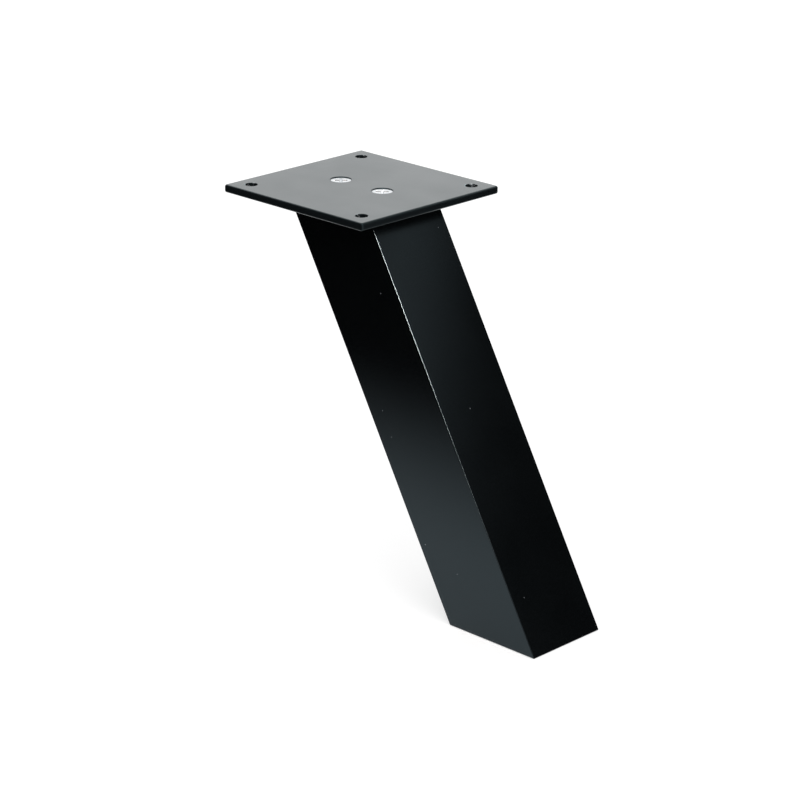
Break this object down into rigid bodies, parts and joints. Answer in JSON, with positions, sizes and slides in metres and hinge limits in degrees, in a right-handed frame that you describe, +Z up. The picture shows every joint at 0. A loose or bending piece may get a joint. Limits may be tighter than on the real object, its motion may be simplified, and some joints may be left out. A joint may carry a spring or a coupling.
{
  "type": "bar top bracket",
  "caption": "Leaning square post with a flat square screw plate on top, which carries a raised bar top above a counter.",
  "frame": {"origin": "centre of the post's foot, on the counter that it stands on and midway between the two foot bolts", "axes": "+Z up; the post leans towards -X as it rises; the bracket is mirrored about the XZ plane"},
  "size_m": [0.1979, 0.1, 0.2106],
  "materials": {
    "plate_black": "satin",
    "post_black": "satin",
    "anchor_metal": "satin",
    "screw_zinc": "gloss"
  },
  "bodies": {
    "root": {"top_plate": "plate_black", "post": "post_black", "head_anchor": "anchor_metal", "foot_anchor": "anchor_metal", "plate_screws": "screw_zinc"}
  },
  "joints": []
}
